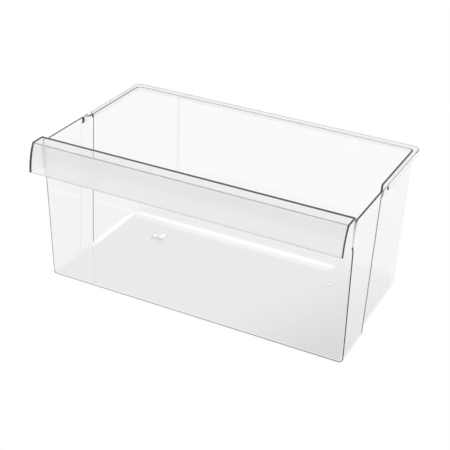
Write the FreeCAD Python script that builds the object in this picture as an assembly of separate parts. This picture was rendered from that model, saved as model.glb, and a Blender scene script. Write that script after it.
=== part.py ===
import FreeCAD, Part
import math
import os

# Fridge crisper drawer, one clear injection moulding. Millimetres, front towards -Y,
# origin at the middle of the bounding box on the underside of the floor.

# Overall sizes
overall_width = 465.0     # across the handle's top, which is the widest place
tub_depth = 261.0         # front wall's top edge to the flange's rear edge
rim_height = 220.0        # underside of the floor to the rim of the sides and back

# Walls, with the distance that each one leans in from the handle's top down to the underside
wall = 2.6
floor_thickness = 2.5
front_lean = 10.8
back_lean = 9.0
front_side_draft = 1.5
rear_side_draft = 2.2

# Jog in both side walls, where the wide front half steps in to leave room for the runners
jog_start = 100.5         # behind the front wall's top edge, at the handle's top
jog_run = 20.5            # length of the slanted stretch, at the handle's top
jog_lean = 14.0           # how far the jog comes forwards from the handle's top down to the underside
jog_lead = 3.0            # how much sooner it starts on the inner face, which thickens the bend
side_step = 5.9           # how far the rear half stands in from the front half

# Flange round the rear half, with a skirt turned down at its edge
back_step = 9.3           # flange's rear edge to the back wall
skirt_height = 9.5
skirt_thickness = 2.0
notch_start = 16.0        # gap in the skirt, behind the start of the jog
notch_width = 9.5
flange_corner_radius = 10.0

# Handle lip along the front: a level strip, then a curved apron that hangs in front of the wall.
# An end wall in line with the drawer's side closes it at each end.
handle_rise = 7.0         # strip's top above the rim
strip_depth = 20.5        # front wall's top edge to the crease
apron_flare = 10.5        # crease to the apron's foot, forwards
apron_drop = 42.0         # strip's top to the apron's foot

# Rounds on the outer faces, from which the inner ones follow by the wall
rear_corner_radius = 9.0
bottom_radius = 7.0
front_edge_radius = 5.5
jog_start_radius = 10.0
jog_end_radius = 2.5      # on the inner face, because this bend stands out there
least_radius = 0.6        # where the wall leaves a hollow corner no larger one

# Rounds of the lip
crease_radius = 0.7       # bend between strip and apron, which is sharp outside
crease_inner_radius = 4.0
strip_root_radius = 1.5   # under the strip, where it leaves the front wall
apron_foot_radius = 0.8

# Extra reach of the cutting and lapping blocks
margin = 5.0

handle_top = rim_height + handle_rise
handle_reach = strip_depth + apron_flare
front_y = (handle_reach - tub_depth) / 2
back_y = front_y + tub_depth
jog_y = front_y + jog_start
lip_y = front_y - handle_reach

# Circle of the apron's outer face, which is plumb at its hem and passes through the strip's front corner
hem = handle_top - apron_drop
apron_radius = (apron_drop ** 2 + apron_flare ** 2) / (2 * apron_flare)
apron_centre_y = lip_y + apron_radius


def share_down(height):
    """Share of the way from the handle's top down to the underside."""
    return 1 - height / handle_top


def front_half_width(height):
    """Half the width of the front tub, the handle and the flange at a height."""
    return overall_width / 2 - front_side_draft * share_down(height)


def front_face_y(height):
    """Place of the front wall's outer face at a height."""
    return front_y + front_lean * share_down(height)


def tub_outline(height):
    """Corners of the tub's outer faces at a height, counter-clockwise from the front right one."""
    wide = front_half_width(height)
    narrow = overall_width / 2 - side_step - rear_side_draft * share_down(height)
    jog_start_y = jog_y - jog_lean * share_down(height)
    jog_end_y = jog_start_y + jog_run * (wide - narrow) / side_step
    back_face_y = back_y - back_step - back_lean * share_down(height)
    right = [(wide, front_face_y(height)), (wide, jog_start_y), (narrow, jog_end_y), (narrow, back_face_y)]
    left = [(-x, y) for x, y in reversed(right)]
    return [FreeCAD.Vector(x, y, height) for x, y in right + left]


def envelope_outline(height, front):
    """Corners of the block that bounds handle and flange, from a front face to the rear edge."""
    wide = front_half_width(height)
    corners = [(wide, front), (wide, back_y), (-wide, back_y), (-wide, front)]
    return [FreeCAD.Vector(x, y, height) for x, y in corners]


def inset_outline(corners, distance):
    """Corners of the outline whose sides lie a distance inside a counter-clockwise one."""
    moved = []
    for before, corner, after in zip(corners[-1:] + corners[:-1], corners, corners[1:] + corners[:1]):
        arriving = (corner - before).normalize()
        leaving = (after - corner).normalize()
        inwards = FreeCAD.Vector(-arriving.y - leaving.y, arriving.x + leaving.x, 0)
        moved.append(corner + inwards * (distance / (1 + arriving.dot(leaving))))
    return moved


def touching(distance):
    """Whether a distance is nothing but rounding."""
    return abs(distance) < 1e-4


def flat_face(corners):
    return Part.Face(Part.makePolygon(corners + corners[:1]))


def prism(low_corners, high_corners):
    """Solid with flat sides between two level outlines that have the same number of corners."""
    faces = [flat_face(low_corners[::-1]), flat_face(high_corners)]
    for i, corner in enumerate(low_corners):
        j = (i + 1) % len(low_corners)
        faces.append(flat_face([corner, low_corners[j], high_corners[j], high_corners[i]]))
    return Part.Solid(Part.Shell(faces))


def upright_edges(solid, corners):
    """Edges that climb from the given corners of the solid's lower outline."""
    found = []
    for edge in solid.Edges:
        low, high = sorted((vertex.Point for vertex in edge.Vertexes), key=lambda point: point.z)
        climbs = high.z - low.z > least_radius
        if climbs and any(touching(low.distanceToPoint(corner)) for corner in corners):
            found.append(edge)
    return found


def points_along(edge):
    """Both ends and the middle of an edge."""
    first, last = edge.ParameterRange
    return [edge.valueAt(value) for value in (first, (first + last) / 2, last)]


def inner_radius(radius, inset):
    return max(radius - inset, least_radius)


def tub_corners(height, inset):
    """Corners of the tub's outer faces moved in by an inset, with the jog starting sooner inside."""
    corners = inset_outline(tub_outline(height), inset)
    run = jog_run + jog_lead * inset / wall
    for start, end in ((corners[1], corners[2]), (corners[6], corners[5])):
        start.y = end.y - run * abs(start.x - end.x) / side_step
    return corners


def tub_block(inset, low, high):
    """Solid inside the tub's outer faces moved in by an inset, with its edges round."""
    corners = tub_corners(low, inset)
    block = prism(corners, tub_corners(high, inset))
    jog_starts = [corners[1], corners[6]]
    jog_ends = [corners[2], corners[5]]
    rear_corners = [corners[3], corners[4]]
    block = block.makeFillet(inner_radius(jog_start_radius, inset), upright_edges(block, jog_starts))
    block = block.makeFillet(inner_radius(jog_end_radius, wall - inset), upright_edges(block, jog_ends))
    block = block.makeFillet(inner_radius(rear_corner_radius, inset), upright_edges(block, rear_corners))
    behind_front = corners[0].y + least_radius
    bottom = [edge for edge in block.Edges
              if all(touching(point.z - low) for point in points_along(edge))
              and points_along(edge)[1].y > behind_front]
    block = block.makeFillet(inner_radius(bottom_radius, inset), bottom)
    return round_front(block, corners[0].y - front_face_y(low), inset, high)


def round_front(block, shift, inset, high):
    """Round the sides and the foot of a block's front face, which lies a shift behind the outer one."""
    loop = []
    for edge in block.Edges:
        points = points_along(edge)
        on_face = all(touching(point.y - front_face_y(point.z) - shift) for point in points)
        if on_face and points[1].z < high - least_radius:
            loop.append(edge)
    return block.makeFillet(inner_radius(front_edge_radius, inset), loop)


def cavity():
    """The drawer's inside, open at the top."""
    return tub_block(wall, floor_thickness, handle_top + margin)


def space_above_rim():
    """What is taken off the sides and back, which end lower than the front wall."""

    def outline(height):
        """Corners from the front wall's inner face to behind the flange."""
        right = [(overall_width, front_face_y(height) + wall), (overall_width, back_y + margin)]
        left = [(-x, y) for x, y in reversed(right)]
        return [FreeCAD.Vector(x, y, height) for x, y in right + left]

    return prism(outline(rim_height), outline(handle_top + margin))


def envelope_block(inset, front, low, high):
    """Block with the front tub's drafted sides and the flange's round rear corners."""
    corners = inset_outline(envelope_outline(low, front), inset)
    block = prism(corners, inset_outline(envelope_outline(high, front), inset))
    rear = upright_edges(block, [corners[1], corners[2]])
    return block.makeFillet(inner_radius(flange_corner_radius, inset), rear)


def flange():
    """Level plate from the jog to the rear edge, with its skirt and the gap in the skirt."""
    foot = rim_height - skirt_height
    underside = rim_height - wall
    front = jog_y - margin
    plate = envelope_block(0, front, foot, rim_height)
    channel = envelope_block(skirt_thickness, front - margin, foot - margin, underside)
    notch_corner = FreeCAD.Vector(-overall_width, jog_y + notch_start, foot - margin)
    notch = Part.makeBox(2 * overall_width, notch_width, underside - notch_corner.z, notch_corner)
    return plate.cut([channel, notch])


def arc(y, z, radius, start, end):
    """Edge round a centre in the Y-Z plane, with angles from -Y towards +Z."""
    points = []
    for angle in (start, (start + end) / 2, end):
        points.append(FreeCAD.Vector(0, y - radius * math.cos(angle), z + radius * math.sin(angle)))
    return Part.Arc(*points).toShape()


def bar(pieces):
    """Solid across the drawer and a little beyond, with a section of arcs and corners in order."""

    def ends(piece):
        """First and last point of an arc, or a corner twice."""
        points = [piece] if isinstance(piece, FreeCAD.Vector) else points_along(piece)
        return points[0], points[-1]

    edges = [piece for piece in pieces if isinstance(piece, Part.Edge)]
    for piece, following in zip(pieces, pieces[1:] + pieces[:1]):
        here = ends(piece)[1]
        there = ends(following)[0]
        if not touching(here.distanceToPoint(there)):
            edges.append(Part.LineSegment(here, there).toShape())
    section = Part.Face(Part.Wire(Part.__sortEdges__(edges)))
    length = overall_width + 2 * margin
    section.translate(FreeCAD.Vector(-length / 2, 0, 0))
    return section.extrude(FreeCAD.Vector(length, 0, 0))


def long_edge(solid, place):
    """Edge along a bar through a corner of its section."""
    for edge in solid.Edges:
        middle = points_along(edge)[1]
        if touching(math.hypot(middle.y - place.y, middle.z - place.z)):
            return edge
    raise ValueError("the bar has no edge there")


def lip_face(inset, radius, foot_angle):
    """Crease and apron at an inset behind the outer face, down to an angle above the hem."""
    reach = apron_radius - inset
    crease_z = handle_top - inset - radius
    crease_y = apron_centre_y - math.sqrt((reach - radius) ** 2 - (crease_z - hem) ** 2)
    meeting = math.atan2(crease_z - hem, apron_centre_y - crease_y)
    crease = arc(crease_y, crease_z, radius, math.pi / 2, meeting)
    apron = arc(apron_centre_y, hem, reach, meeting, foot_angle)
    return [crease, apron]


def apron_foot(reach):
    """Place of the foot's round, a reach from the apron's centre, and the angle at which they touch."""
    angle = math.asin(apron_foot_radius / reach)
    return apron_centre_y - reach * math.cos(angle), hem + apron_foot_radius, angle


def lip_block():
    """The lip as if it were solid between its strip, its apron and the front wall."""
    y, z, angle = apron_foot(apron_radius - apron_foot_radius)
    foot = arc(y, z, apron_foot_radius, angle, -math.pi / 2)
    seat = front_y + front_edge_radius + margin
    block = bar([
        FreeCAD.Vector(0, seat, handle_top),
        *lip_face(0, crease_radius, angle),
        foot,
        FreeCAD.Vector(0, seat, hem),
    ])
    return block.common(envelope_block(0, lip_y - margin, 0, handle_top))


def finger_gap():
    """Hollow behind the apron, open below, between the two end walls."""
    y, z, angle = apron_foot(apron_radius - wall + apron_foot_radius)
    foot = arc(y, z, apron_foot_radius, math.pi + angle, 1.5 * math.pi)
    low = hem - margin
    underside = handle_top - wall
    root = FreeCAD.Vector(0, front_face_y(underside), underside)
    gap = bar([
        FreeCAD.Vector(0, front_face_y(low), low),
        root,
        *lip_face(wall, crease_inner_radius, angle),
        foot,
        FreeCAD.Vector(0, y, low),
    ])
    gap = gap.makeFillet(strip_root_radius, [long_edge(gap, root)])
    return gap.common(envelope_block(wall, lip_y - margin, low, handle_top))


def crisper_drawer():
    handle = lip_block().cut(finger_gap())
    outside = tub_block(0, 0, handle_top).fuse([flange(), handle])
    drawer = outside.cut([space_above_rim(), cavity()])
    return drawer.removeSplitter()


os.makedirs("parts", exist_ok=True)
solid = crisper_drawer().Solids[0]
solid.exportStep("parts/crisper_drawer.step")
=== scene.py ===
"""Clear crisper drawer, moulded in one piece, in a white studio.

The drawer is one closed surface. Level rings of points climb its walls inside and outside, a hooked
profile is carried round the rim for the flange and its skirt, and another along the front for the
handle lip. Lengths are in metres, with the front towards -Y and the floor at z = 0.
"""
import math
from types import SimpleNamespace

import bmesh
import bpy
import numpy as np
from bpy.props import FloatProperty, FloatVectorProperty, PointerProperty
from mathutils import Matrix, Vector


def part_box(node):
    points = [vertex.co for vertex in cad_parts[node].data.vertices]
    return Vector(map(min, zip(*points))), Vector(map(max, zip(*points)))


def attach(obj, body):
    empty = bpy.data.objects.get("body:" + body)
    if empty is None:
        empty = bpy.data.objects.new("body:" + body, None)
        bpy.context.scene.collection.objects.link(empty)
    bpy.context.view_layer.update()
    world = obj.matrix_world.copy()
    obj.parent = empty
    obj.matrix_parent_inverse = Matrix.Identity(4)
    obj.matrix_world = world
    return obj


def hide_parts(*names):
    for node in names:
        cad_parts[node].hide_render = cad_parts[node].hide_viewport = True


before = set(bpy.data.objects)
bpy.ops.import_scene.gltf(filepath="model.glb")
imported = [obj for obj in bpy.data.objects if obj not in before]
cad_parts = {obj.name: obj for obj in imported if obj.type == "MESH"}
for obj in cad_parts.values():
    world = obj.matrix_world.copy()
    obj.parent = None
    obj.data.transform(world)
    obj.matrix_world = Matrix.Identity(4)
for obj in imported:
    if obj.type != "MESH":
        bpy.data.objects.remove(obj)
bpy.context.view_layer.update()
drawer_low, drawer_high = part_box("crisper_drawer")

bl_info = {
    "name": "Crisper drawer",
    "version": (1, 0, 0),
    "blender": (4, 5, 0),
    "location": "View3D > Sidebar > Crisper",
    "description": "Builds a clear fridge crisper drawer and a white studio for it",
    "category": "Add Mesh",
}

MM = 0.001

# Points along each stretch of half a ring, from the middle of the front to the middle of the back
STRETCHES = {
    "mid front": 1,
    "front corner": 9,
    "side shoulder": 1,
    "jog start": 6,
    "wedge": 1,
    "gap start": 1,
    "jog end": 6,
    "gap end": 1,
    "rear corner": 15,
    "mid back": 1,
}
STRETCH_ENDS = np.cumsum(list(STRETCHES.values()))
RING = {name: slice(end - count, end) for (name, count), end in zip(STRETCHES.items(), STRETCH_ENDS)}
RING_SIZE = int(STRETCH_ENDS[-1])

FILLET_STEPS = 10
BLEND_STEPS = 6
EDGE_STEPS = 4
APRON_STEPS = 20
SEAM = 0.001 * MM
SHARP_ANGLE = math.radians(35)
FACE_WEIGHT = 100
LIGHT_BOUNCES = 32

# Bare raised pads on the floor: middle and half size across and along, and how square each one is
PADS = (
    (-156.5, 72.0, 5.0, 7.5, 2.0),
    (-145.0, 76.0, 5.5, 10.5, 5.0),
    (141.0, 74.5, 3.0, 4.5, 2.0),
)
PAD_CORNERS = 40

# Where the painted shadow on the paper begins and is full: from the left, the right, the front, behind, the
# corner
LEFT_FADE = (-0.243, -0.222)
RIGHT_FADE = (-0.231, -0.224)
FRONT_FADE = (-0.104, -0.098)
REAR_FADE = (0.125, 0.19)
CORNER_FADE = (0.06, 0.28)

# The paper's grid: its fine middle, its coarser surroundings and how far it lies under the drawer
PAPER_NEAR = 0.26
PAPER_NEAR_LINES = 417
PAPER_FAR = (0.28, 1.0)
PAPER_FAR_LINES = 37
PAPER_DROP = 0.4 * MM


def length(name, value, description):
    """A size that can be changed in the sidebar."""
    return FloatProperty(name=name, description=description, default=value, unit="LENGTH", precision=5)


class DrawerSizes(bpy.types.PropertyGroup):
    """Sizes of the moulding."""

    width: length("Width", drawer_high.x - drawer_low.x, "Across the handle's top")
    apron_y: length("Apron's front", drawer_low.y, "Foremost place of the handle")
    back_y: length("Rear edge", drawer_high.y, "Rearmost place of the flange")
    handle_top: length("Handle's top", drawer_high.z, "Underside of the floor to the handle's strip")

    wall: length("Wall", 2.6 * MM, "Thickness of the walls, the flange and the handle")
    floor: length("Floor", 2.5 * MM, "Thickness of the floor")
    front_lean: length("Front lean", 10.8 * MM, "How far the front wall leans in, top to bottom")
    back_lean: length("Back lean", 9.0 * MM, "How far the back wall leans in, top to bottom")
    front_side_draft: length("Front draft", 1.5 * MM, "How far the front half's sides lean in")
    rear_side_draft: length("Rear draft", 2.2 * MM, "How far the rear half's sides lean in")

    jog_start: length("Jog start", 100.5 * MM, "Front wall to the step in the side wall")
    jog_run: length("Jog run", 20.5 * MM, "Length of the slanted stretch")
    jog_lean: length("Jog lean", 14.0 * MM, "How far the jog leans forwards, top to bottom")
    jog_lead: length("Jog lead", 2.0 * MM, "How far the jog starts sooner inside, where the wall is thicker")
    side_step: length("Side step", 5.9 * MM, "How far the rear half stands in")
    back_step: length("Back step", 9.3 * MM, "Flange's rear edge to the back wall")

    skirt_height: length("Skirt height", 9.5 * MM, "Rim to the skirt's foot")
    skirt: length("Skirt", 2.0 * MM, "Thickness of the skirt")
    gap_start: length("Gap start", 16.0 * MM, "Start of the jog to the gap in the skirt")
    gap_width: length("Gap width", 9.5 * MM, "Length of the gap in the skirt")
    flange_radius: length("Flange corner", 10.0 * MM, "Plan radius of the flange's rear corners")

    handle_rise: length("Handle rise", 7.0 * MM, "Strip's top above the rim")
    strip_depth: length("Strip depth", 20.5 * MM, "Front wall to the crease")
    apron_flare: length("Apron flare", 10.5 * MM, "Crease to the apron's foot, forwards")
    apron_drop: length("Apron drop", 42.0 * MM, "Strip's top to the apron's foot")

    rear_radius: length("Rear corner", 9.0 * MM, "Radius of the upright rear corners")
    bottom_radius: length("Bottom edge", 7.0 * MM, "Radius between the floor and the sides and back")
    front_bottom_radius: length("Front bottom edge", 5.0 * MM, "Radius between the floor and the front")
    jog_start_radius: length("Jog start bend", 10.0 * MM, "Radius of the outer face where the jog starts")
    jog_end_radius: length("Jog end bend", 2.5 * MM, "Radius of the inner face where the jog ends")
    front_radius: length("Front corner", 5.5 * MM, "Radius of the upright front corners, below the handle")
    corner_blend: length("Corner blend", 12.0 * MM, "Height over which the front corners sharpen under it")
    crease_radius: length("Crease", 0.7 * MM, "Radius outside the handle's bend")
    crease_inner_radius: length("Crease inside", 4.0 * MM, "Radius inside the handle's bend")
    strip_root_radius: length("Strip root", 1.5 * MM, "Radius under the strip, where it leaves the wall")
    foot_radius: length("Apron foot", 0.8 * MM, "Radius of the apron's lower edges")
    edge_radius: length("Rim edges", 0.4 * MM, "Radius of the rim's edges and the skirt's foot")
    least_radius: length("Least radius", 0.6 * MM, "Radius of the inner front corners")
    pad_height: length("Pad height", 0.9 * MM, "Height of the pads on the floor")
    pad_gap: length("Pad gap", 0.02 * MM, "Clearance under the pads")
    taper: length("Taper", 12.0 * MM, "Length over which an edge radius runs out at a corner")


class PlasticFinish(bpy.types.PropertyGroup):
    """Finish of the clear plastic."""

    ior: FloatProperty(name="Index of refraction", description="Of clear polystyrene", default=1.59)
    tint: FloatVectorProperty(
        name="Tint", description="Colour that long paths through the plastic take on",
        subtype="COLOR", size=3, default=(0.62, 0.62, 0.62))
    depth: FloatProperty(
        name="Depth of tint", description="How fast the tint deepens, per metre", default=40.0)
    satin: FloatProperty(
        name="Satin roughness", description="Roughness of the apron's etched front",
        subtype="FACTOR", default=0.30)


class StudioSetup(bpy.types.PropertyGroup):
    """Camera, paper and light."""

    camera_place: FloatVectorProperty(
        name="Camera", description="Place of the camera", subtype="TRANSLATION",
        default=(0.6026, -1.2487, 0.8570))
    camera_target: FloatVectorProperty(
        name="Target", description="Point at the middle of the picture", subtype="TRANSLATION",
        default=(-0.0095, 0.0200, 0.0862))
    camera_roll: FloatProperty(
        name="Roll", description="Turn of the camera about its own axis", subtype="ANGLE",
        default=math.radians(2.36))
    camera_lens: FloatProperty(
        name="Lens", description="Focal length on a 36 mm sensor", default=87.6)
    floor_half: length("Floor", 40.0, "Half the width of the white floor")
    shade_open: FloatProperty(name="Paper", description="Brightness of the paper in the light", default=1.0)
    # Painted shadow: the paper's brightness as painted under the drawer
    shade_under: FloatProperty(
        name="Paper below", description="Its brightness under the drawer", default=0.895)
    # Painted shadow: extra darkness painted under the front right corner
    shade_corner: FloatProperty(
        name="Corner shadow", description="How much darker it is under the front right corner", default=0.19)
    # Painted highlight: strength of the lines of light painted on the paper along the bottom edges
    painted_edge_glow: FloatProperty(name="Edge light", description="Light thrown by the bottom edges", default=0.35)
    # Painted light: strength of the bright patches painted on the paper under the pads
    painted_pad_glow: FloatProperty(name="Pad light", description="Light gathered under the pads", default=0.3)
    room_low: FloatVectorProperty(
        name="Room low", description="Colour near the horizon", subtype="COLOR", default=(0.83, 0.86, 0.89))
    room_high: FloatVectorProperty(
        name="Room high", description="Colour overhead", subtype="COLOR", default=(0.92, 0.94, 0.96))
    room_front: FloatProperty(
        name="Room in front", description="Share of that brightness towards the front", default=0.42)


def front_y(size):
    """Place of the front wall's outer face at the handle's top."""
    return size.apron_y + size.apron_flare + size.strip_depth


def levels(size):
    """Heights of the rim, the plate's and strip's undersides, the skirt's foot and the apron's hem."""
    rim = size.handle_top - size.handle_rise
    return SimpleNamespace(
        rim=rim, plate=rim - size.wall, skirt=rim - size.skirt_height,
        strip=size.handle_top - size.wall, hem=size.handle_top - size.apron_drop)


def front_half_width(size, z):
    """Half the width of the front tub, the handle and the flange, which narrows with depth."""
    return size.width / 2 - size.front_side_draft * (1 - z / size.handle_top)


def front_face_y(size, z):
    """Place of the front wall's outer face, which leans in evenly with depth."""
    return front_y(size) + size.front_lean * (1 - z / size.handle_top)


def jog_start_y(size, z):
    """Place where the side wall starts to step in, which comes forwards evenly with depth."""
    return front_y(size) + size.jog_start - size.jog_lean * (1 - z / size.handle_top)


def wall_planes(size, z):
    """Outward direction and reach of each wall's outer face at the heights z.

    A point p lies on a face when p . (cos a, sin a) equals its reach. The reaches shrink evenly with
    depth. The slanted face of the jog starts where the front half of the side ends.
    """
    depth = 1 - z / size.handle_top
    wide = front_half_width(size, z)
    slant = math.atan2(size.side_step, size.jog_run)
    jog_y = jog_start_y(size, z)
    return {
        "front": (-math.pi / 2, -front_face_y(size, z)),
        "front side": (0.0, wide),
        "jog": (slant, wide * math.cos(slant) + jog_y * math.sin(slant)),
        "rear side": (0.0, size.width / 2 - size.side_step - size.rear_side_draft * depth),
        "back": (math.pi / 2, size.back_y - size.back_step - size.back_lean * depth),
    }


def front_radii(size, z):
    """Radius of the upright front corners, which eases down to the wall's thickness at the apron's hem."""
    share = np.clip((levels(size).hem - z) / size.corner_blend, 0.0, 1.0)
    return size.wall + (size.front_radius - size.wall) * share ** 2 * (3 - 2 * share)


def bend(first, second, inset, radius, least):
    """Arc from one wall to the next, for faces moved in by an inset.

    The arc's centre lies a radius inside both moved faces on an outward bend, and a radius outside
    them on an inward one, so insets of one bend share a centre and differ in radius.
    """
    (start, first_reach), (end, second_reach) = first, second
    side = 1 if np.all(end > start) else -1
    own = np.maximum(radius - side * inset, least)
    first_reach = first_reach - inset - side * own
    second_reach = second_reach - inset - side * own
    across = np.sin(end - start)
    centre_x = (first_reach * np.sin(end) - second_reach * np.sin(start)) / across
    centre_y = (second_reach * np.cos(start) - first_reach * np.cos(end)) / across
    turn = start + (end - start) * np.linspace(0.0, 1.0, inset.shape[1])
    return centre_x + side * own * np.cos(turn), centre_y + side * own * np.sin(turn)


def part_of(walls, name, place):
    """One wall's direction and reach along one stretch of the ring."""
    direction, reach = walls[name]
    return np.broadcast_to(direction, reach.shape)[:, place], reach[:, place]


def inner_jog(size, walls, inset):
    """Direction and reach of the jog's slanted face, which starts sooner the further it is moved in.

    It turns about the corner where the face that is simply moved in meets the rear half of the side.
    """
    slant, reach = walls["jog"]
    x = walls["rear side"][1] - inset
    y = (reach - inset - x * math.cos(slant)) / math.sin(slant)
    turned = np.arctan2(size.side_step, size.jog_run + size.jog_lead * inset / size.wall)
    return turned, x * np.cos(turned) + y * np.sin(turned) + inset


def tub_ring(size, z, inset):
    """Half rings round the tub's walls moved in by an inset, with one row for each level.

    z and inset have a row for each ring and a column for each point. Bends are arcs, and the points
    between them lie on the flat walls.
    """
    x = np.zeros_like(z)
    y = np.zeros_like(z)
    walls = wall_planes(size, z)
    walls["jog"] = inner_jog(size, walls, inset)
    bends = (
        ("front corner", "front", "front side", front_radii(size, z[:, RING["front corner"]])),
        ("jog start", "front side", "jog", size.jog_start_radius),
        ("jog end", "jog", "rear side", size.jog_end_radius - size.wall),
        ("rear corner", "rear side", "back", size.rear_radius),
    )
    for name, first, second, radius in bends:
        place = RING[name]
        x[:, place], y[:, place] = bend(
            part_of(walls, first, place), part_of(walls, second, place), inset[:, place],
            radius, size.least_radius)

    place = RING["mid front"]
    y[:, place] = front_face_y(size, z[:, place]) + inset[:, place]
    place = RING["side shoulder"]
    x[:, place] = walls["front side"][1][:, place] - inset[:, place]
    y[:, place] = front_face_y(size, z[:, place]) + size.bottom_radius + size.taper

    wedge = size.jog_run * size.skirt / size.side_step
    for name, along in (("wedge", wedge), ("gap start", size.gap_start)):
        place = RING[name]
        slant, reach = part_of(walls, "jog", place)
        y[:, place] = jog_start_y(size, z[:, place]) + along
        x[:, place] = (reach - inset[:, place] - y[:, place] * np.sin(slant)) / np.cos(slant)
    place = RING["gap end"]
    x[:, place] = walls["rear side"][1][:, place] - inset[:, place]
    y[:, place] = gap_ends(size)[1] + jog_shift(size, z[:, place])

    place = RING["mid back"]
    y[:, place] = walls["back"][1][:, place] - inset[:, place]
    return np.stack([x, y, z], axis=-1)


def gap_ends(size):
    """Front and rear end of the gap in the skirt."""
    start = front_y(size) + size.jog_start + size.gap_start
    return start, start + size.gap_width


def jog_shift(size, z):
    """How much later the jog ends at a height than it does at the flange's underside."""
    depth = (levels(size).plate - z) / size.handle_top
    deeper_step = (size.rear_side_draft - size.front_side_draft) * size.jog_run / size.side_step
    return depth * (deeper_step - size.jog_lean)


def flange_ring(size, z, inset):
    """Half rings round the flange's edge moved in by an inset.

    Along the sides the edge carries on in line with the front half of the side walls. Behind, it turns
    through its own arc.
    """
    outer = tub_ring(size, z, np.zeros_like(z))
    wide = front_half_width(size, z)
    x = wide - inset
    y = outer[..., 1]
    y[:, RING["gap start"]], y[:, RING["gap end"]] = gap_ends(size)
    place = RING["rear corner"]
    edges = ((0.0, wide[:, place]), (math.pi / 2, np.full_like(wide[:, place], size.back_y)))
    x[:, place], y[:, place] = bend(*edges, inset[:, place], size.flange_radius, size.least_radius)
    place = RING["mid back"]
    x[:, place] = 0.0
    y[:, place] = size.back_y - inset[:, place]
    return np.stack([x, y, z], axis=-1)


def quarter(steps):
    """Angles of a quarter turn, as a column."""
    return np.linspace(0.0, math.pi / 2, steps + 1)[:, None]


def bottom_radii(size):
    """Radius of the bottom edge at each point of a ring, growing round the front corner."""
    radii = np.full(RING_SIZE, size.bottom_radius)
    radii[:RING["front corner"].start] = size.front_bottom_radius
    corner = STRETCHES["front corner"]
    radii[RING["front corner"]] = np.linspace(size.front_bottom_radius, size.bottom_radius, corner)
    return radii


def rim_radii(size):
    """Radius of the rim's edges at each point of a ring: none in front, where the handle takes over."""
    radii = np.full(RING_SIZE, size.edge_radius)
    radii[:RING["front corner"].stop] = 0.0
    return radii


def foot_radii(size):
    """Radius of the skirt's foot at each point of a ring: none until the wedge behind it has opened."""
    radii = np.full(RING_SIZE, size.edge_radius)
    radii[:RING["gap start"].start] = 0.0
    return radii


def shell(size, low, inset, radii, top):
    """One side of the tub, from the floor's edge up to a top: a quarter round, then the wall.

    At a turn t the round stands radius * (1 - sin t) inside the wall's face and radius * (1 - cos t)
    above the floor's face.
    """
    turn = quarter(FILLET_STEPS)
    level = np.ones((1, RING_SIZE))
    hem = levels(size).hem
    blend = np.linspace(hem - size.corner_blend, hem, BLEND_STEPS + 1)[:, None] * level
    z = np.vstack([low + radii * (1 - np.cos(turn)), blend, top * level])
    inwards = np.vstack([inset + radii * (1 - np.sin(turn)), inset * np.ones_like(blend), inset * level])
    return tub_ring(size, z, inwards)


def flange_profile(size):
    """Upper and lower side of the flange with its skirt, as profiles carried round the rim.

    Upper side: the rim's inner edge, the outer edge, the level of the plate's underside, the skirt's
    foot. Lower side: the wall at the foot's level, the wall under the plate, the skirt's inner corner,
    the foot. Each edge is a quarter round.
    """
    at = levels(size)
    turn = quarter(EDGE_STEPS)
    level = np.ones((1, RING_SIZE))
    edge = rim_radii(size)
    toe = foot_radii(size)

    inner_edge = tub_ring(size, at.rim - edge * (1 - np.sin(turn)), size.wall - edge * (1 - np.cos(turn)))
    back_turn = turn[::-1]
    outer_edge = flange_ring(size, at.rim - edge * (1 - np.sin(back_turn)), edge * (1 - np.cos(back_turn)))
    plate_edge = flange_ring(size, at.plate * level, 0.0 * level)
    outer_foot = flange_ring(size, at.skirt + toe * (1 - np.sin(turn)), toe * (1 - np.cos(turn)))
    upper = np.concatenate([inner_edge, outer_edge, plate_edge, outer_foot])

    wall_at_foot = tub_ring(size, at.skirt * level, 0.0 * level)
    wall_at_plate = tub_ring(size, at.plate * level, 0.0 * level)
    inner_corner = flange_ring(size, at.plate * level, size.skirt * level)
    inner_foot = flange_ring(
        size, at.skirt + toe * (1 - np.sin(turn)), size.skirt - toe * (1 - np.cos(turn)))
    lower = np.concatenate([wall_at_foot, wall_at_plate, inner_corner, inner_foot])
    plate_row = len(inner_edge) + len(outer_edge)
    corner_row = len(wall_at_foot) + len(wall_at_plate)
    return upper, lower, plate_row, corner_row


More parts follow.
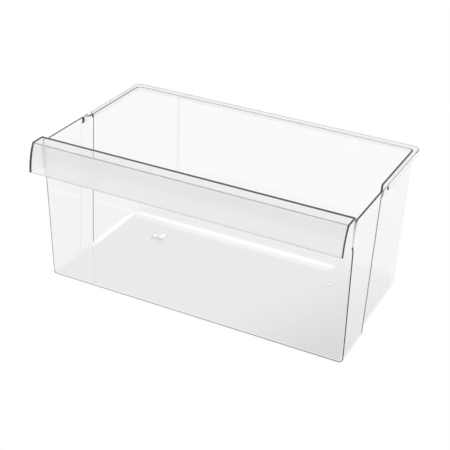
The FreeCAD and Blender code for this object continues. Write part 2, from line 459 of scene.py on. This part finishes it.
def handle_profile(size):
    """Upper and lower side of the handle lip in the Y-Z plane.

    The apron is an arc that hangs plumb at its foot and passes through the crease. The crease is an
    arc that touches the strip and the apron on each side of the lip.
    """
    at = levels(size)
    top = size.handle_top
    radius = (size.apron_drop ** 2 + size.apron_flare ** 2) / (2 * size.apron_flare)
    middle_y = size.apron_y + radius

    def round_edge(y, z, own, start, end, steps=EDGE_STEPS):
        """Arc about a point, with angles measured from -Y towards +Z."""
        turn = np.linspace(start, end, steps + 1)
        return np.column_stack([y - own * np.cos(turn), z + own * np.sin(turn)])

    def lip(thickness, crease):
        """Crease and apron at a depth below the upper side, down to where the foot's round starts."""
        reach = radius - thickness
        crease_z = top - thickness - crease
        crease_y = middle_y - math.sqrt((reach - crease) ** 2 - (crease_z - at.hem) ** 2)
        meets = math.atan2(crease_z - at.hem, middle_y - crease_y)
        bent = round_edge(crease_y, crease_z, crease, math.pi / 2, meets)
        start = math.asin(size.foot_radius / reach)
        hang = round_edge(middle_y, at.hem, reach, meets, start, APRON_STEPS)
        return np.vstack([bent, hang[1:]])

    edge = size.edge_radius
    toe = size.foot_radius
    root = size.strip_root_radius
    upright = [(front_face_y(size, z) + size.wall, z) for z in (at.rim, at.strip)]
    back_edge = round_edge(front_y(size) + size.wall - edge, top - edge, edge, math.pi, math.pi / 2)
    outer_toe = round_edge(size.apron_y + toe, at.hem + toe, toe, 0.0, -math.pi / 2)
    upper = np.vstack([upright, back_edge, lip(0.0, size.crease_radius), outer_toe[1:]])

    face = [(front_face_y(size, at.hem), at.hem)]
    strip_root = round_edge(front_face_y(size, at.strip) - root, at.strip - root, root, math.pi, math.pi / 2)
    inner_toe = round_edge(size.apron_y + size.wall - toe, at.hem + toe, toe, math.pi, 1.5 * math.pi)
    lower = np.vstack([face, strip_root, lip(size.wall, size.crease_inner_radius), inner_toe[1:]])
    return upper, lower


def carried(profile, x):
    """A profile of (y, z) rows carried to the places x, which has a column for each place."""
    y = np.broadcast_to(profile[..., 0], x.shape)
    z = np.broadcast_to(profile[..., 1], x.shape)
    return np.stack([x, y, z], axis=-1)


class Patchwork:
    """Grids and outlines of points that are sewn into one closed surface."""

    def __init__(self):
        self.points = []
        self.faces = []
        self.satin = []

    def add_points(self, points):
        start = sum(len(block) for block in self.points)
        self.points.append(points.reshape(-1, 3))
        return start

    def grid(self, points, keep=None, satin=0.0):
        """Four-cornered faces between the neighbouring rows and columns of a grid."""
        rows, columns = points.shape[:2]
        index = self.add_points(points) + np.arange(rows * columns).reshape(rows, columns)
        quads = np.stack([index[:-1, :-1], index[:-1, 1:], index[1:, 1:], index[1:, :-1]], axis=-1)
        shine = np.broadcast_to(satin, quads.shape[:2])
        if keep is not None:
            kept = np.broadcast_to(keep, quads.shape[:2])
            quads = quads[kept]
            shine = shine[kept]
        self.faces.extend(quads.reshape(-1, 4).tolist())
        self.satin.extend(shine.ravel().tolist())

    def outline(self, points):
        """One flat face inside a loop of points."""
        start = self.add_points(points)
        self.faces.append(list(range(start, start + len(points))))
        self.satin.append(0.0)

    def mirror(self):
        """Add the patches' mirror image on the left."""
        right = np.concatenate(self.points)
        mirrored = [[len(right) + corner for corner in reversed(face)] for face in self.faces]
        self.points.append(right * (-1.0, 1.0, 1.0))
        self.faces.extend(mirrored)
        self.satin.extend(self.satin)

    def sewn(self, name):
        """Mesh of the patches, with shared edges merged and faces outwards."""
        mesh = bpy.data.meshes.new(name)
        mesh.from_pydata(np.concatenate(self.points), [], self.faces)
        shine = mesh.attributes.new("satin", "FLOAT", "FACE")
        shine.data.foreach_set("value", np.array(self.satin, np.float32))

        work = bmesh.new()
        work.from_mesh(mesh)
        bmesh.ops.remove_doubles(work, verts=work.verts, dist=SEAM)
        bmesh.ops.dissolve_degenerate(work, dist=SEAM, edges=work.edges)
        bmesh.ops.recalc_face_normals(work, faces=work.faces)
        open_edges = sum(not edge.is_manifold for edge in work.edges)
        volume = work.calc_volume()
        work.to_mesh(mesh)
        work.free()
        if open_edges or volume <= 0:
            raise RuntimeError(f"{name} isn't closed: {open_edges} open edges, volume {volume:.6f}")
        print(f"{name}: {len(mesh.polygons)} faces, {volume * 1e6:.1f} cubic centimetres")
        return mesh


def add_tub(patches, size):
    """Floor and walls, up to the rim inside, and outside to the apron's hem and the skirt's foot."""
    at = levels(size)
    outside = shell(size, 0.0, 0.0, bottom_radii(size), at.skirt)
    below_hem = np.arange(len(outside) - 1)[:, None] < len(outside) - 2
    behind_corner = np.arange(RING_SIZE - 1) >= RING["front corner"].stop - 1
    patches.grid(outside, keep=below_hem | behind_corner)
    patches.outline(outside[0])
    inner_radii = np.maximum(bottom_radii(size) - size.wall, size.least_radius)
    inside = shell(size, size.floor, size.wall, inner_radii, at.rim - rim_radii(size))
    patches.grid(inside)
    patches.outline(inside[0])


def add_flange(patches, size):
    """Rim of the sides and back, with the flange and its skirt where the walls stand in.

    The skirt starts as a wedge on the slanted wall, so the wedge's place is there twice: closed, and
    open. Between the gap's ends the skirt is left out, and a flat face closes each end.
    """
    upper, lower, plate_row, corner_row = flange_profile(size)
    wedge = RING["wedge"].start
    first = RING["front corner"].stop - 1
    columns = np.r_[first:wedge + 1, wedge:RING_SIZE]
    opened = wedge + 1 - first
    gap_start = RING["gap start"].start + 1 - first
    gap_end = RING["gap end"].start + 1 - first
    upper = upper[:, columns]
    lower = lower[:, columns]
    lower[1:, :opened] = lower[:1, :opened]

    column = np.arange(len(columns) - 1)
    skirted = (column < gap_start) | (column >= gap_end)
    upper_row = np.arange(len(upper) - 1)[:, None]
    lower_row = np.arange(len(lower) - 1)[:, None]
    patches.grid(upper, keep=skirted | (upper_row < plate_row))
    patches.grid(lower, keep=skirted | (lower_row < corner_row))
    patches.grid(np.stack([upper[-1], lower[-1]]), keep=skirted)
    patches.grid(np.stack([upper[plate_row], lower[corner_row]]), keep=~skirted)
    for place in (gap_start, gap_end):
        patches.outline(np.vstack([upper[plate_row:, place], lower[:corner_row - 1:-1, place]]))


def add_handle(patches, size):
    """Front wall above the rim, and the handle lip with a wall at each end, in line with the sides.

    The end wall has two flat faces: its outer one runs on into the side wall, and its inner one closes
    the finger gap. Its foot is level with the apron's.
    """
    at = levels(size)
    upper, lower = handle_profile(size)
    corner = RING["front corner"]

    wide = front_half_width(size, upper[:, 1:])
    inner_corner = wide - size.wall - size.least_radius
    top_side = carried(upper[:, None], np.hstack([0 * wide, inner_corner, wide]))
    apron = np.arange(len(upper) - 1)[:, None] >= len(upper) - APRON_STEPS - 2 * EDGE_STEPS - 1
    patches.grid(top_side, satin=apron.astype(float))

    inner = front_half_width(size, lower[:, 1:]) - size.wall
    under_side = carried(lower[:, None], np.hstack([0 * inner, inner]))
    patches.grid(under_side)
    patches.outline(under_side[:, -1])

    heights = np.array([[at.hem], [at.skirt], [at.plate], [at.rim]]) * np.ones((1, RING_SIZE))
    outer = tub_ring(size, heights, 0 * heights)
    patches.outline(np.vstack([outer[:, corner.stop - 1], top_side[1:, -1]]))
    patches.outline(np.vstack([top_side[-1], outer[0, corner][::-1], under_side[-1, ::-1]]))

    rim_inside = tub_ring(size, heights[-1:], size.wall + 0 * heights[-1:])[0, corner]
    patches.outline(np.vstack([rim_inside, top_side[:1, -1]]))


def add_pads(patches, size):
    """Low bare plates on the floor, with the outline |x / a|^n + |y / b|^n = 1."""
    turn = np.linspace(0.0, 2 * math.pi, PAD_CORNERS + 1)
    height = size.floor + size.pad_gap + np.array([[0.0], [size.pad_height]])
    for x, y, half_x, half_y, square in PADS:
        across = np.sign(np.cos(turn)) * np.abs(np.cos(turn)) ** (2 / square)
        along = np.sign(np.sin(turn)) * np.abs(np.sin(turn)) ** (2 / square)
        edge_x = MM * (x + half_x * across)
        edge_y = MM * (y + half_y * along)
        edge = np.stack(np.broadcast_arrays(edge_x, edge_y, height), axis=-1)
        patches.grid(edge)
        patches.outline(edge[0, :-1])
        patches.outline(edge[1, :-1])


def show(mesh, material):
    """Object of a finished mesh, riding on the drawer's body in place of the CAD solid."""
    piece = bpy.data.objects.new(mesh.name, mesh)
    bpy.context.scene.collection.objects.link(piece)
    mesh.materials.append(material)
    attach(piece, "root")
    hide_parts("crisper_drawer")
    return piece


def shader(material):
    """Emptied node tree of a material or world, with its output."""
    material.use_nodes = True
    tree = material.node_tree
    tree.nodes.clear()
    kind = "ShaderNodeOutputWorld" if isinstance(material, bpy.types.World) else "ShaderNodeOutputMaterial"
    return tree, tree.nodes.new(kind)


def clear_plastic(finish):
    """Clear polystyrene: polished walls, an etched satin front on the apron, tint by depth."""
    material = bpy.data.materials.new("clear_polystyrene")
    tree, output = shader(material)
    surface = tree.nodes.new("ShaderNodeBsdfPrincipled")
    surface.inputs["Base Color"].default_value = (1.0, 1.0, 1.0, 1.0)
    surface.inputs["Transmission Weight"].default_value = 1.0
    surface.inputs["IOR"].default_value = finish.ior
    tree.links.new(surface.outputs["BSDF"], output.inputs["Surface"])

    satin = tree.nodes.new("ShaderNodeAttribute")
    satin.attribute_name = "satin"
    roughness = tree.nodes.new("ShaderNodeMapRange")
    roughness.inputs["To Min"].default_value = 0.0
    roughness.inputs["To Max"].default_value = finish.satin
    tree.links.new(satin.outputs["Fac"], roughness.inputs["Value"])
    tree.links.new(roughness.outputs["Result"], surface.inputs["Roughness"])

    depth = tree.nodes.new("ShaderNodeVolumeAbsorption")
    depth.inputs["Color"].default_value = (*finish.tint, 1.0)
    depth.inputs["Density"].default_value = finish.depth
    tree.links.new(depth.outputs["Volume"], output.inputs["Volume"])
    return material


class CRISPER_OT_make_drawer(bpy.types.Operator):
    """Build the drawer from its sizes and give it its finish"""

    bl_idname = "crisper.make_drawer"
    bl_label = "Make drawer"

    def execute(self, context):
        size = context.scene.crisper_sizes
        patches = Patchwork()
        add_tub(patches, size)
        add_flange(patches, size)
        add_handle(patches, size)
        patches.mirror()
        add_pads(patches, size)
        mesh = patches.sewn("clear_drawer")
        mesh.polygons.foreach_set("use_smooth", np.ones(len(mesh.polygons), bool))
        mesh.set_sharp_from_angle(angle=SHARP_ANGLE)
        piece = show(mesh, clear_plastic(context.scene.crisper_finish))
        normals = piece.modifiers.new("Flat walls", "WEIGHTED_NORMAL")
        normals.keep_sharp = True
        normals.weight = FACE_WEIGHT
        return {"FINISHED"}


def soft_step(value, low, high):
    """0 below low, 1 above high, and 3 t^2 - 2 t^3 between them."""
    share = np.clip((value - low) / (high - low), 0.0, 1.0)
    return share ** 2 * (3 - 2 * share)


def painted_paper_brightness(studio, x, y):
    """Brightness of the paper at the places x and y.

    It is white in the open. Under the drawer a soft shadow is painted into the paper's brightness,
    deepest towards the front right corner, with painted lines and patches of light for the bottom edges
    and the pads. On the right its edge draws in where the side wall steps in, and further behind the drawer.
    """
    # Painted shadow: soft masks that place the drawer's shadow on the paper, drawn in on the right
    drawn_in = 0.006 * soft_step(y, -0.03, 0.0) + 0.35 * np.maximum(y - 0.115, 0.0)
    sides = soft_step(x, *LEFT_FADE) * soft_step(-x - drawn_in, *RIGHT_FADE)
    behind = soft_step(y, *REAR_FADE)
    shadow = sides * soft_step(y, *FRONT_FADE) * (1 - behind)
    # Painted shadow, darker towards the front right corner
    under = studio.shade_under - studio.shade_corner * soft_step(x - 0.55 * y, *CORNER_FADE)
    shade = studio.shade_open + (under - studio.shade_open) * shadow
    # Painted light: the lines along the bottom edges and the patches under the pads are added to the painted
    # shadow
    return shade + studio.painted_edge_glow * painted_light_lines(x, y) + studio.painted_pad_glow * painted_pad_patches(x, y)


def painted_pad_patches(x, y):
    """Painted light on the paper under the floor's pads, less a painted dim line of shade along their front
    edges.
    """
    light = 0.0
    dim = 0.0
    for pad_x, pad_y, half_x, half_y, square in PADS:
        across = np.abs(x / MM - pad_x) / half_x
        along = (y / MM - pad_y) / half_y
        light = np.maximum(light, soft_step(1.0 - across ** square - np.abs(along) ** square, 0.0, 0.7))
        dim = np.maximum(dim, soft_step(1.3 - across ** square - np.abs(along + 0.5) ** square, 0.0, 0.7))
    return light - 0.6 * np.maximum(dim - light, 0.0)


def painted_light_lines(x, y):
    """Painted highlight: lines of light painted on the paper along the rear and the left bottom edges, where
    the round edges would throw light.

    Each line falls off as exp(-d^2) across it. The rear one has a fainter companion inside it. It is
    brightest in the middle and ends short of the right corner.
    """
    inside = soft_step(0.24 + x, 0.0, 0.03) * soft_step(0.135 - x, 0.0, 0.015)
    rear = np.exp(-((y - 0.1275) / 0.009) ** 2) + 0.3 * np.exp(-((y - 0.1125) / 0.004) ** 2)
    fading = 0.8 + 0.3 * soft_step(x, -0.20, -0.06) - 0.3 * soft_step(x, 0.02, 0.14)
    along_left = soft_step(0.13 - y, 0.0, 0.02) * soft_step(y, -0.01, 0.02)
    left = np.exp(-((x + 0.229) / 0.005) ** 2) * along_left
    return np.maximum(rear * inside * fading, left)


def white_floor(studio):
    """Wide level floor of white paper just under the drawer, glowing, with the drawer's shadow and lines and
    patches of light painted into its colour.
    """
    near = np.linspace(-PAPER_NEAR, PAPER_NEAR, PAPER_NEAR_LINES)
    far = np.linspace(*PAPER_FAR, PAPER_FAR_LINES)
    line = np.concatenate([[-studio.floor_half], -far[::-1], near, far, [studio.floor_half]])
    x, y = np.meshgrid(line, line)
    patches = Patchwork()
    patches.grid(np.stack([x, y, np.full_like(x, -PAPER_DROP)], axis=-1))
    mesh = bpy.data.meshes.new("studio_floor")
    mesh.from_pydata(patches.points[0], [], patches.faces)
    # Painted shade and light: the paper's brightness at each point, used as its emission colour
    shade = mesh.attributes.new("shade", "FLOAT", "POINT")
    shade.data.foreach_set("value", painted_paper_brightness(studio, x, y).ravel().astype(np.float32))
    floor = bpy.data.objects.new("studio_floor", mesh)
    bpy.context.scene.collection.objects.link(floor)

    material = bpy.data.materials.new("white_paper")
    tree, output = shader(material)
    paper = tree.nodes.new("ShaderNodeEmission")
    shaded = tree.nodes.new("ShaderNodeAttribute")
    shaded.attribute_name = "shade"
    tree.links.new(shaded.outputs["Fac"], paper.inputs["Color"])
    tree.links.new(paper.outputs["Emission"], output.inputs["Surface"])
    mesh.materials.append(material)


def studio_world(studio):
    """Pale room, a little duller low down and dark towards the front."""
    world = bpy.data.worlds.new("studio")
    bpy.context.scene.world = world
    tree, output = shader(world)
    direction = tree.nodes.new("ShaderNodeTexCoord")
    parts = tree.nodes.new("ShaderNodeSeparateXYZ")
    tree.links.new(direction.outputs["Generated"], parts.inputs["Vector"])
    ramp = tree.nodes.new("ShaderNodeValToRGB")
    stops = ramp.color_ramp.elements
    stops[0].color = (*studio.room_low, 1.0)
    stops[-1].color = (*studio.room_high, 1.0)
    tree.links.new(parts.outputs["Z"], ramp.inputs["Fac"])

    side = tree.nodes.new("ShaderNodeMapRange")
    side.interpolation_type = "SMOOTHSTEP"
    side.inputs["From Min"].default_value = -0.9
    side.inputs["From Max"].default_value = -0.2
    side.inputs["To Min"].default_value = studio.room_front
    side.inputs["To Max"].default_value = 1.0
    tree.links.new(parts.outputs["Y"], side.inputs["Value"])

    room = tree.nodes.new("ShaderNodeBackground")
    tree.links.new(ramp.outputs["Color"], room.inputs["Color"])
    tree.links.new(side.outputs["Result"], room.inputs["Strength"])
    tree.links.new(room.outputs["Background"], output.inputs["Surface"])


def studio_camera(studio):
    """Camera at its place, looking at its target, turned about its own axis by the roll."""
    data = bpy.data.cameras.new("studio_camera")
    data.sensor_width = 36.0
    data.lens = studio.camera_lens
    camera = bpy.data.objects.new("studio_camera", data)
    place = Vector(studio.camera_place)
    ahead = (Vector(studio.camera_target) - place).normalized()
    right = ahead.cross(Vector((0.0, 0.0, 1.0))).normalized()
    axes = Matrix((right, right.cross(ahead), -ahead)).transposed()
    turned = axes @ Matrix.Rotation(studio.camera_roll, 3, "Z")
    camera.matrix_world = Matrix.Translation(place) @ turned.to_4x4()
    bpy.context.scene.collection.objects.link(camera)
    bpy.context.scene.camera = camera


class CRISPER_OT_make_stage(bpy.types.Operator):
    """Set up the white floor, the room's light and the camera"""

    bl_idname = "crisper.make_stage"
    bl_label = "Make stage"

    def execute(self, context):
        studio = context.scene.crisper_studio
        white_floor(studio)
        studio_world(studio)
        studio_camera(studio)
        context.scene.cycles.max_bounces = LIGHT_BOUNCES
        context.scene.cycles.transmission_bounces = LIGHT_BOUNCES
        context.scene.view_settings.view_transform = "Standard"
        return {"FINISHED"}


class CRISPER_PT_sidebar(bpy.types.Panel):
    """The drawer's steps and sizes"""

    bl_idname = "CRISPER_PT_sidebar"
    bl_label = "Crisper drawer"
    bl_space_type = "VIEW_3D"
    bl_region_type = "UI"
    bl_category = "Crisper"

    def draw(self, context):
        for step in STEPS:
            self.layout.operator(step.bl_idname)
        for name in GROUPS:
            group = getattr(context.scene, name)
            box = self.layout.box()
            for field in group.bl_rna.properties:
                if field.identifier not in ("name", "rna_type"):
                    box.prop(group, field.identifier)


STEPS = (CRISPER_OT_make_drawer, CRISPER_OT_make_stage)
GROUPS = {"crisper_sizes": DrawerSizes, "crisper_finish": PlasticFinish, "crisper_studio": StudioSetup}


def register():
    for name, group in GROUPS.items():
        bpy.utils.register_class(group)
        setattr(bpy.types.Scene, name, PointerProperty(type=group))
    for cls in (*STEPS, CRISPER_PT_sidebar):
        bpy.utils.register_class(cls)


def unregister():
    for cls in (CRISPER_PT_sidebar, *reversed(STEPS)):
        bpy.utils.unregister_class(cls)
    for name, group in reversed(GROUPS.items()):
        delattr(bpy.types.Scene, name)
        bpy.utils.unregister_class(group)


def main():
    register()
    bpy.ops.crisper.make_drawer()
    bpy.ops.crisper.make_stage()


if __name__ == "__main__":
    main()
